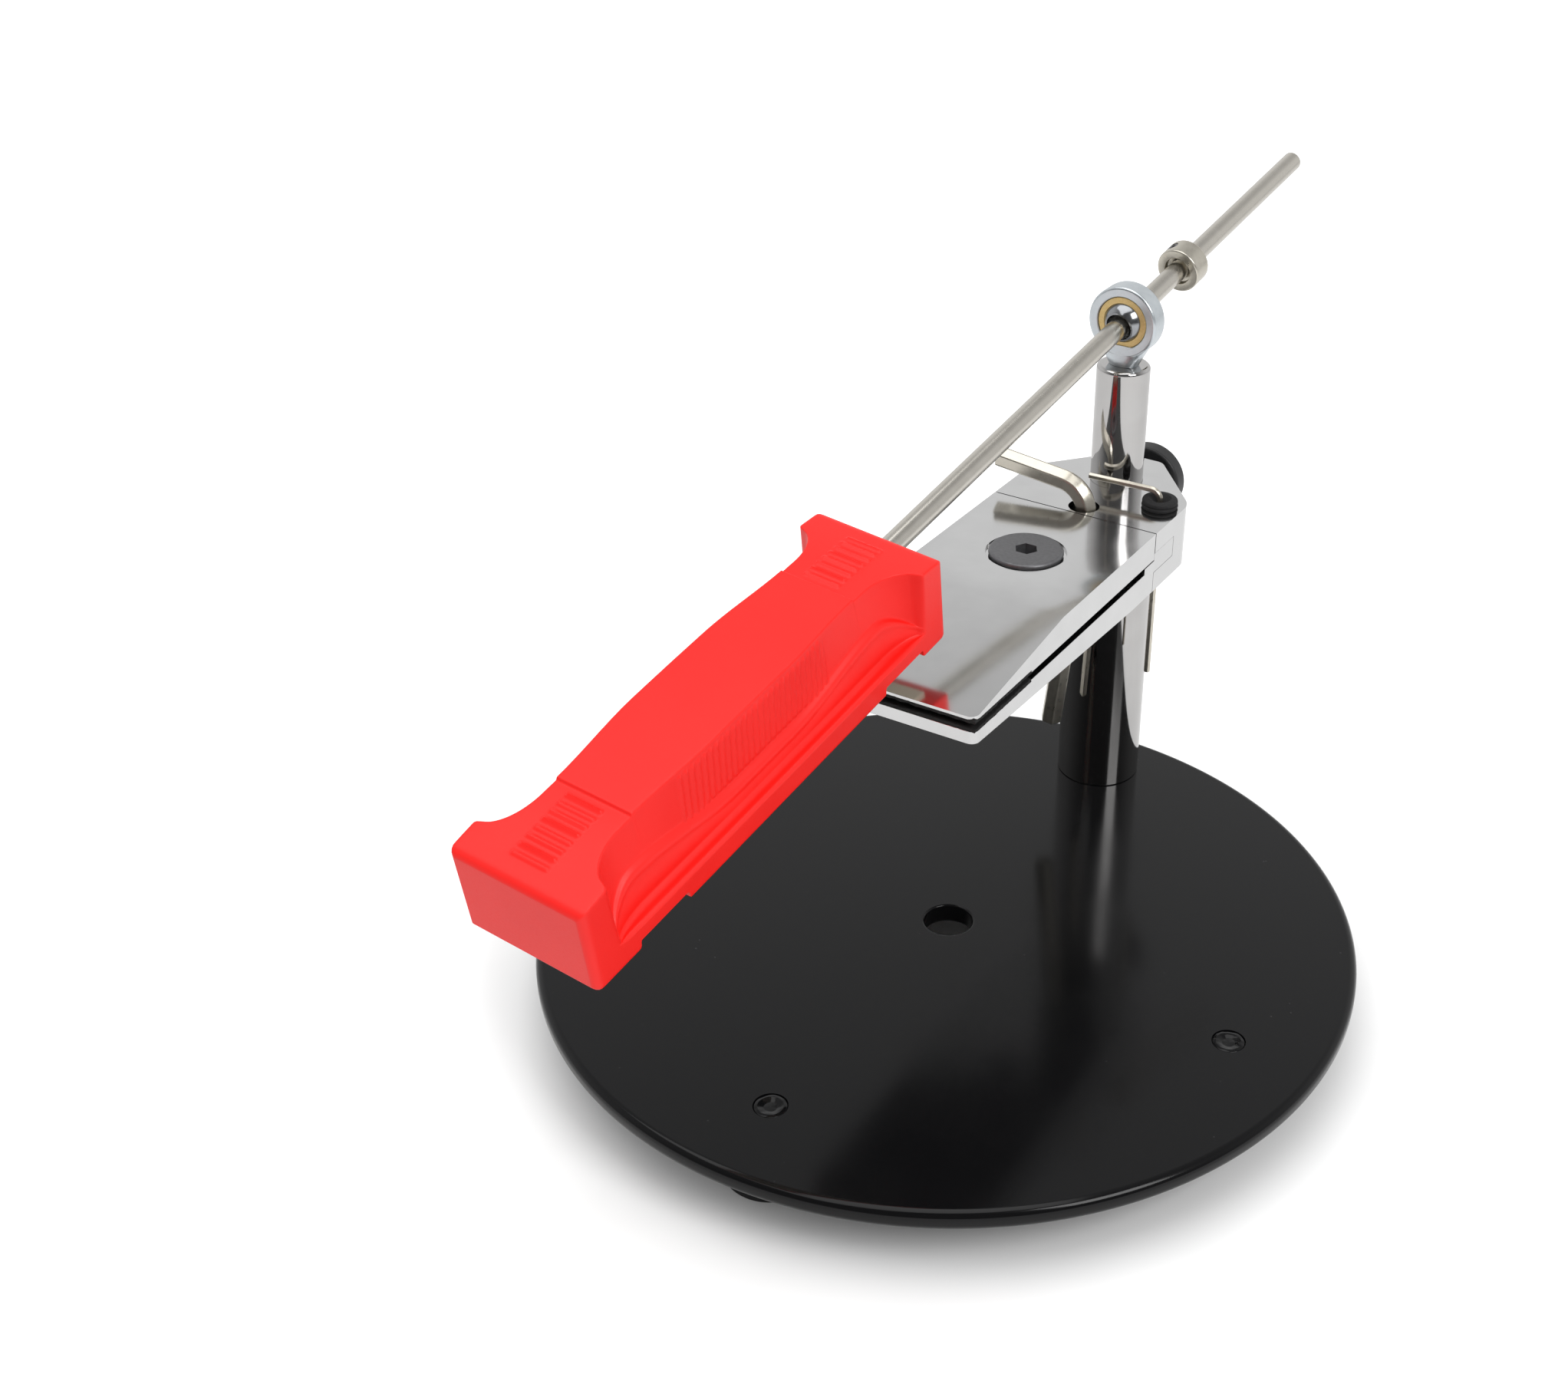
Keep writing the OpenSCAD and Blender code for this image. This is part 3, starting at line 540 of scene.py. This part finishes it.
# The rod end is a bought joint: a zinc-plated steel eye on a threaded shank, with a brass
# race pressed into it and a hardened ball in the race.
ball = Vector(joints["ball_tilt"]["pos_m"])
eye_place = Matrix.Translation(ball) @ Matrix.Rotation(math.radians(90), 4, "X")
eye_r, eye_half, race_r = 9.0, 3.0, 6.5
eye = turned("rod_end_eye", [(race_r, -eye_half, 0.3), (eye_r, -eye_half, 0.7), (eye_r, eye_half, 0.7),
                             (race_r, eye_half, 0.3)], eye_place)
neck = bmesh.new()
levels = []
neck_low, neck_high = (rod_high.z - ball.z) / MM + 0.05, -5.8
neck_w_low, neck_w_high, neck_half_d, neck_rings, neck_around = 3.7, 6.5, 3.0, 13, 40
for k in range(neck_rings):
    share = k / (neck_rings - 1)
    z = neck_low + (neck_high - neck_low) * share
    half_w = neck_w_low + (neck_w_high - neck_w_low) * share
    squareness = 2 / (2.4 + 2 * share)
    level = []
    for i in range(neck_around):
        a = 2 * math.pi * i / neck_around
        cx = math.copysign(abs(math.cos(a)) ** squareness, math.cos(a))
        cy = math.copysign(abs(math.sin(a)) ** squareness, math.sin(a))
        level.append(neck.verts.new(ball + Vector((half_w * cx, neck_half_d * cy, z)) * MM))
    levels.append(level)
for under, upper in zip(levels, levels[1:]):
    for i in range(neck_around):
        n = (i + 1) % neck_around
        neck.faces.new((under[i], under[n], upper[n], upper[i]))
neck.faces.new(levels[0][::-1])
neck.faces.new(levels[-1])
neck.from_mesh(eye.data)
end_thread_r, shank_low, shank_top = 2.45, neck_low - 2.5, neck_low + 0.5
shank = turned("shank", [(0, shank_low, 0), (end_thread_r, shank_low, 0), (end_thread_r, shank_top, 0),
                         (0, shank_top, 0)], Matrix.Translation(ball), 48)
neck.from_mesh(shank.data)
bpy.data.objects.remove(shank)
neck.to_mesh(eye.data)
neck.free()
finish(eye, zinc, "rod_end", ["rod_end_housing"])

# Sintered brass: warm tan gold, dull rather than bright.
brass, tree, surface, place = start("oiled_brass_race", Metallic=0.85, Roughness=0.42)
pore = add(tree, "TexNoise", {"Vector": place, "Scale": 1 / (0.5 * MM), "Detail": 4.0})
tint = add(tree, "Mix", {"Factor": pore.outputs[0], "A": linear("#c9ab6c"), "B": linear("#e4cc96")},
           data_type="RGBA")
tree.links.new(tint.outputs["Result"], surface.inputs["Base Color"])
relief = add(tree, "Bump", {"Height": pore.outputs[0], "Strength": 0.3, "Distance": 0.04 * MM})
tree.links.new(relief.outputs[0], surface.inputs["Normal"])
race_half, seat_r, press = 2.7, 5.6, 0.05
mouth = math.sqrt(seat_r ** 2 - race_half ** 2)
race = turned("brass_race", [(seat_r, 0, 1.0), (mouth, -race_half, 0), (race_r - press, -race_half, 0.2),
                             (race_r - press, race_half, 0.2), (mouth, race_half, 0)], eye_place)
finish(race, brass, "rod_end", ["rod_end_race"])

# Hardened bearing steel: a dark, bright-polished grey.
bearing, tree, surface, place = start("polished_bearing_steel", Metallic=1.0, Roughness=0.16)
wear = add(tree, "TexNoise", {"Vector": place, "Scale": 1 / (1.2 * MM), "Detail": 3.0})
tint = add(tree, "Mix", {"Factor": wear.outputs[0], "A": linear("#8d8f92"), "B": linear("#a3a5a8")},
           data_type="RGBA")
tree.links.new(tint.outputs["Result"], surface.inputs["Base Color"])
soft = add(tree, "MapRange", {"Value": wear.outputs[0], "To Min": 0.1, "To Max": 0.22})
tree.links.new(soft.outputs[0], surface.inputs["Roughness"])
forward = Vector(joints["guide_rod_stroke"]["axis"]).normalized()
right = -Vector(joints["ball_tilt"]["axis"]).normalized()
up = forward.cross(right).normalized()
guide_place = Matrix.Translation(ball) @ Matrix((right, up, forward)).transposed().to_4x4()
ball_r, ball_half, guide_bore = 5.55, 4.0, 2.55
arc = [(ball_r * math.cos(a), ball_r * math.sin(a), 0)
       for a in (math.asin(ball_half / ball_r) * (k / 12 * 2 - 1) for k in range(13))]
mouth_r, mouth_step, mouth_deep = 3.4, 0.5, 1.4
pivot = turned("pivot_ball", [(guide_bore, mouth_deep - ball_half, 0),
                              (mouth_r - 0.1, mouth_step - ball_half, 0), (mouth_r, -ball_half, 0)] + arc
               + [(mouth_r, ball_half, 0), (mouth_r - 0.1, ball_half - mouth_step, 0),
                  (guide_bore, ball_half - mouth_deep, 0)], guide_place)
finish(pivot, bearing, "rod_end_ball", ["rod_end_ball"])


# The guide rod is 5 mm ground stainless bar with a rounded free end. It slides through the
# ball and carries the stone holder at its other end.
# Ground stainless: a warm satin grey with a soft, slightly uneven polish.
stainless, tree, surface, place = start("ground_stainless_bar", Metallic=1.0, Roughness=0.3)
polish = add(tree, "TexNoise", {"Vector": place, "Scale": 1 / (2.5 * MM), "Detail": 3.0})
tint = add(tree, "Mix", {"Factor": polish.outputs[0], "A": linear("#c6c2b9"), "B": linear("#cfcbc3")},
           data_type="RGBA")
tree.links.new(tint.outputs["Result"], surface.inputs["Base Color"])
soft = add(tree, "MapRange", {"Value": polish.outputs[0], "To Min": 0.2, "To Max": 0.28})
tree.links.new(soft.outputs[0], surface.inputs["Roughness"])
guide_r, behind_ball, holder_at, in_holder = 2.5, 90.5, 105.0, 98.0
guide = turned("guide_bar", [(0, -behind_ball, 0), (guide_r, -behind_ball, 0.9),
                             (guide_r, holder_at + in_holder, 0.3), (0, holder_at + in_holder, 0)],
               guide_place, 64)
finish(guide, stainless, "guide_rod", ["guide_rod"])


# The stop collar sets how far the rod may slide. It is nickel-plated steel, countersunk at
# both ends of its bore and held by a small set screw.
# Nickel plate: a warm silver with soft blurred reflections.
nickel, tree, surface, place = start("satin_nickel_plate", Metallic=1.0, Roughness=0.24)
haze = add(tree, "TexNoise", {"Vector": place, "Scale": 1 / (1.5 * MM), "Detail": 4.0})
tint = add(tree, "Mix", {"Factor": haze.outputs[0], "A": linear("#bdb8ab"), "B": linear("#d2cdc2")},
           data_type="RGBA")
tree.links.new(tint.outputs["Result"], surface.inputs["Base Color"])
soft = add(tree, "MapRange", {"Value": haze.outputs[0], "To Min": 0.24, "To Max": 0.34})
tree.links.new(soft.outputs[0], surface.inputs["Roughness"])
relief = add(tree, "Bump", {"Height": haze.outputs[0], "Strength": 0.05, "Distance": 0.01 * MM})
tree.links.new(relief.outputs[0], surface.inputs["Normal"])
collar_back, collar_r, collar_half, set_screw_turn = 28.5, 5.75, 3.0, 120.0
collar_place = guide_place @ Matrix.Translation((0, 0, -collar_back * MM))
sink_r, sink_floor = 3.6, 1.5
collar = turned("stop_ring", [(guide_bore, -sink_floor, 0), (sink_r - 0.2, -sink_floor - 0.3, 0),
                              (sink_r, -collar_half, 0.15), (collar_r, -collar_half, 0.5),
                              (collar_r, collar_half, 0.5), (sink_r, collar_half, 0.15),
                              (sink_r - 0.2, sink_floor + 0.3, 0), (guide_bore, sink_floor, 0)],
                collar_place)
aside = Matrix.Rotation(math.radians(90), 4, "Y")
radial = collar_place @ Matrix.Rotation(math.radians(set_screw_turn), 4, "Z") @ aside
drill_r, drill_from, drill_to = 1.58, 2.0, 8.0
cut(collar, turned("drill", [(0, drill_from, 0), (drill_r, drill_from, 0), (drill_r, drill_to, 0),
                             (0, drill_to, 0)], radial, 48))
finish(collar, nickel, "stop_collar", ["stop_collar"])
grub = from_cad("grub_screw", "collar_set_screw")
finish(grub, oxide, "collar_set_screw", ["collar_set_screw"], edge=0.12)


# The stone holder is one red ABS moulding, waisted for the fingers, with a thumb rest at
# each end, ribs and hatching for grip, and a flange that covers the stone's edges.
holder_long, holder_half, holder_deep, holder_roll, rod_under_top = 116.0, 15.9, 21.0, -4.4, 5.4
holder_place = (guide_place @ Matrix.Rotation(math.radians(holder_roll), 4, "Z")
                @ Matrix.Translation((0, rod_under_top * MM, holder_at * MM))
                @ Matrix(((0, 1, 0, 0), (0, 0, 1, 0), (1, 0, 0, 0), (0, 0, 0, 1))))
end_round = 1.6
step_at, middle = 23.0, holder_long / 2
end_block, scoop_to, scoop_deep, belly = 8.0, 19.0, 6.8, 1.3
thumb_rise, crown_high, crown_dip = 2.1, 3.4, 0.7
ridge_from, ridge_in, ridge_low, ridge_rise = 8.5, 4.2, 13.5, 5.0
trough_floor, skirt_z, recess_half, notch_deep = 14.9, 18.0, 12.3, 2.0
notches = ((9.0, 23.0), (88.6, 103.0))


def ease(x):
    x = min(1.0, max(0.0, x))
    return x * x * (3 - 2 * x)


def bow(reach, span):
    return math.sqrt(max(0.0, 1 - (reach / span) ** 2))


# Half of the holder's cross-section at s along it, from the middle of its top round to the
# middle of its sole. It is given as (w, z), with w sideways and z up from the top edge.
def half_section(s):
    e = min(s, holder_long - s)
    if e < end_block:
        crown_half = holder_half
    elif e < scoop_to:
        crown_half = holder_half - scoop_deep * bow(scoop_to - e, scoop_to - end_block)
    else:
        crown_half = holder_half - scoop_deep + belly * ease((e - step_at) / 24)
    if e < step_at:
        crown = thumb_rise * math.sin(math.pi / 2 * e / step_at)
    else:
        crown = crown_high - crown_dip * ((middle - e) / (middle - step_at)) ** 2
    if e < ridge_from:
        ridge_w, ridge_z = holder_half, ridge_low
    elif e < scoop_to:
        ridge_w = holder_half - ridge_in * bow(scoop_to - e, scoop_to - ridge_from)
        ridge_z = ridge_low - ridge_rise * math.sin(math.pi / 2 * (e - ridge_from) / (scoop_to - ridge_from))
    else:
        settled = ease((e - scoop_to) / 30)
        ridge_w = holder_half - ridge_in + 0.3 * settled
        ridge_z = ridge_low - ridge_rise + 4.0 * settled
    shelf = holder_half - ridge_w
    lip, flare = min(1.0, shelf / 3), min(1.0, shelf / 4)
    trough_z = max(ridge_z + 0.9, trough_floor) + 0.5 * flare
    sole_z = holder_deep - (notch_deep if any(a < s < b for a, b in notches) else 0.0)
    wall_w, wall_z = ridge_w - 1.3 * flare, ridge_z - 1.7 * flare
    side = [(0, crown), (crown_half * 0.5, crown), (crown_half, crown)]
    for k in (1, 2, 3, 4, 5):
        share = k / 5
        side.append((crown_half + (wall_w - crown_half) * share, crown + (-wall_z - crown) * share))
    side += [(ridge_w - 0.2 * flare, -ridge_z + 0.9 * flare), (ridge_w + 0.1 * flare, -ridge_z),
             (ridge_w + 0.1 * flare, -ridge_z - 0.9), (ridge_w + 0.2 * shelf, -trough_z + 0.3),
             (ridge_w + 0.5 * shelf, -trough_z), (holder_half - 0.7 * lip, -trough_z + 0.2 * lip),
             (holder_half, -trough_z - 0.1), (holder_half, -skirt_z), (holder_half, -sole_z),
             (recess_half + 0.1, -sole_z), (recess_half, -holder_deep), (0, -holder_deep)]
    return side


# The section is drawn at stations along the holder: a rounded end, then even steps, with a
# pair close together at each notch and step so that it stays crisp.
fine = 0.38
stations = []
for k in range(5):
    a = math.pi / 2 * k / 4
    stations.append((end_round * (1 - math.cos(a)), end_round * (1 - math.sin(a))))
sliver = 0.02
marks = list(np.arange(2.2, holder_long - 2.0, fine))
for e in (notches[0][0], notches[0][0] + sliver, step_at, step_at + sliver):
    marks += [e, holder_long - e]
marks += [notches[0][1] - sliver, notches[1][0], notches[1][0] + sliver]
marks += [notches[1][1] - sliver, notches[1][1]]
stations = (stations + [(s, 0.0) for s in sorted(set(marks))]
            + [(holder_long - s, inset) for s, inset in reversed(stations)])
sides = []
for s, inset in stations:
    side = half_section(s)
    crown = side[0][1]
    sides.append([(min(w, holder_half - inset), min(crown - inset, max(-holder_deep + inset, z)))
                  for w, z in side])
sides = np.array(sides)
spans = np.linalg.norm(np.diff(sides, axis=1), axis=2).max(axis=0)
columns = []
for i, span in enumerate(spans):
    parts = max(1, math.ceil(span / fine))
    for k in range(parts):
        columns.append(sides[:, i] + (sides[:, i + 1] - sides[:, i]) * k / parts)
columns.append(sides[:, -1])
half = np.stack(columns, axis=1)
whole = np.concatenate([half, half[:, -2:0:-1] * (-1, 1)], axis=1)
rings, ring_size = whole.shape[:2]
spots = np.empty((rings, ring_size, 3))
spots[:, :, 0] = np.array([s for s, inset in stations])[:, None]
spots[:, :, 1:] = whole
spots = spots.reshape(-1, 3)
faces = [(r * ring_size + i, r * ring_size + (i + 1) % ring_size,
          (r + 1) * ring_size + (i + 1) % ring_size, (r + 1) * ring_size + i)
         for r in range(rings - 1) for i in range(ring_size)]
faces += [tuple(range(ring_size))[::-1], tuple(range((rings - 1) * ring_size, rings * ring_size))]
mesh = bpy.data.meshes.new("red_holder")
mesh.from_pydata(spots, [], faces)
holder = new_piece("red_holder", mesh)

# A little smoothing rounds every edge, as the mould does.
count = len(mesh.vertices)
ends = np.empty(len(mesh.edges) * 2, dtype=np.int32)
mesh.edges.foreach_get("vertices", ends)
ends = ends.reshape(-1, 2)
links = np.bincount(ends.ravel(), minlength=count)[:, None]
for round_off in range(3):
    around = np.zeros_like(spots)
    for axis in range(3):
        around[:, axis] = (np.bincount(ends[:, 0], spots[ends[:, 1], axis], count)
                           + np.bincount(ends[:, 1], spots[ends[:, 0], axis], count))
    spots += 0.5 * (around / links - spots)


# Ribs and hatching are raised out of the surface: rows of rounded ridges, each pitch apart.
def ridge(x, pitch, width):
    offset = np.abs((x / pitch + 0.5) % 1 - 0.5) * pitch
    share = np.clip(1 - offset / width, 0, 1)
    return share * share * (3 - 2 * share)


mesh.vertices.foreach_set("co", (spots * MM).ravel())
mesh.update()
facing = np.empty(count * 3)
mesh.vertex_normals.foreach_get("vector", facing)
facing = facing.reshape(-1, 3)
s, w, z = spots[:, 0], spots[:, 1], spots[:, 2]
e = np.minimum(s, holder_long - s)
on_top = np.clip((np.abs(facing[:, 2]) - 0.8) / 0.1, 0, 1) * (z > -1)
first_rib, rib_pitch, rib_w, rib_high, rib_half_long, rib_side = 5.6, 2.15, 0.7, 0.55, 4.6, 0.4
rib_rows = np.clip((e - first_rib + 1) * 4, 0, 1) * np.clip((21.6 - e) * 4, 0, 1)
rib_rows *= np.clip((rib_half_long - np.abs(w + rib_side)) * 3, 0, 1)
ribs = ridge(e - first_rib, rib_pitch, rib_w) * rib_rows * on_top
spots[:, 2] += rib_high * ribs
on_side = np.clip((np.abs(facing[:, 1]) - 0.75) / 0.1, 0, 1)
hatch_from, hatch_to, hatch_low, hatch_top = 35, 82, -10.2, 2.2
hatch_pitch, hatch_w, hatch_high, hatch_lean = 1.75, 0.7, 0.45, 0.1
rows = np.clip((s - hatch_from) * 2, 0, 1) * np.clip((hatch_to - s) * 2, 0, 1)
rows *= np.clip((z - hatch_low) * 2, 0, 1) * np.clip((hatch_top - z) * 2, 0, 1)
hatch = ridge(s + hatch_lean * z, hatch_pitch, hatch_w) * rows * on_side
spots[:, 1] += hatch_high * hatch * np.sign(w)
mesh.vertices.foreach_set("co", (spots * MM).ravel())
mesh.transform(holder_place)
mesh.update()
skin = bmesh.new()
skin.from_mesh(mesh)
bmesh.ops.remove_doubles(skin, verts=skin.verts, dist=0.01 * MM)
bmesh.ops.recalc_face_normals(skin, faces=skin.faces)
skin.to_mesh(mesh)
skin.free()

# Red ABS with a spark-eroded mould grain: a strong warm red, satin rather than glossy.
red, tree, surface, place = start("satin_red_abs", Roughness=0.34, IOR=1.5, Specular_IOR_Level=0.3)
grain = add(tree, "TexNoise", {"Vector": place, "Scale": 1 / (0.45 * MM), "Detail": 3.0})
flow = add(tree, "TexNoise", {"Vector": place, "Scale": 1 / (14.0 * MM), "Detail": 2.0})
tint = add(tree, "Mix", {"Factor": flow.outputs[0], "A": linear("#dc120c"), "B": linear("#e61a13")},
           data_type="RGBA")
tree.links.new(tint.outputs["Result"], surface.inputs["Base Color"])
soft = add(tree, "MapRange", {"Value": grain.outputs[0], "To Min": 0.34, "To Max": 0.48})
tree.links.new(soft.outputs[0], surface.inputs["Roughness"])
relief = add(tree, "Bump", {"Height": grain.outputs[0], "Strength": 0.12, "Distance": 0.04 * MM})
tree.links.new(relief.outputs[0], surface.inputs["Normal"])
finish(holder, red, "stone_holder", ["stone_holder"], crease=75)


# The stone is a pale sintered abrasive slab glued into the holder's recess.
# Vitrified abrasive: cream, quite matt, with fine grit and darker grains.
stone_clay, tree, surface, place = start("vitrified_pale_abrasive", Roughness=0.9)
grit = add(tree, "TexNoise", {"Vector": place, "Scale": 1 / (0.35 * MM), "Detail": 5.0})
tint = add(tree, "Mix", {"Factor": grit.outputs[0], "A": linear("#cdc3aa"), "B": linear("#f2ebd8")},
           data_type="RGBA")
tree.links.new(tint.outputs["Result"], surface.inputs["Base Color"])
relief = add(tree, "Bump", {"Height": grit.outputs[0], "Strength": 0.5, "Distance": 0.08 * MM})
tree.links.new(relief.outputs[0], surface.inputs["Normal"])
stone = from_cad("sharpening_stone", "abrasive_stone")
finish(stone, stone_clay, "stone_holder", ["abrasive_stone"], edge=0.35)


# Two hexagon keys park in the block: the large one turns the clamp screw and its leg pins
# the jaw's tongue, the small one fits the stop collar's screw and sits in the grommet.
key = from_cad("clamp_key", "hex_key_large")
finish(key, nickel, "hex_key_large", ["hex_key_large"], edge=0.35)
key = from_cad("collar_key", "hex_key_small")
finish(key, nickel, "hex_key_small", ["hex_key_small"], edge=0.12)


# The grommet is a black rubber bush pushed into the block. Two soft rings with a groove
# between them grip the small key.
grommet_low, grommet_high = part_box("key_grommet")
grommet_middle = (grommet_low + grommet_high) / 2
block_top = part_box("rear_block")[1].z
grommet_place = Matrix.Translation((grommet_middle.x, grommet_middle.y, block_top))
grommet = turned("key_bush", [(0.95, -4, 0), (3, -4, 0.2), (3, 0.02, 0), (4.4, 0.02, 0.2), (4.6, 0.6, 0.3),
                              (4.45, 1.0, 0.2), (4.05, 1.15, 0.1), (4.5, 1.35, 0.2), (4.4, 2.2, 0.5),
                              (2.9, 2.45, 0.4), (2.3, 2.0, 0.3), (0.95, 1.0, 0.2)], grommet_place, 96)
finish(grommet, rubber, "base", ["key_grommet"])
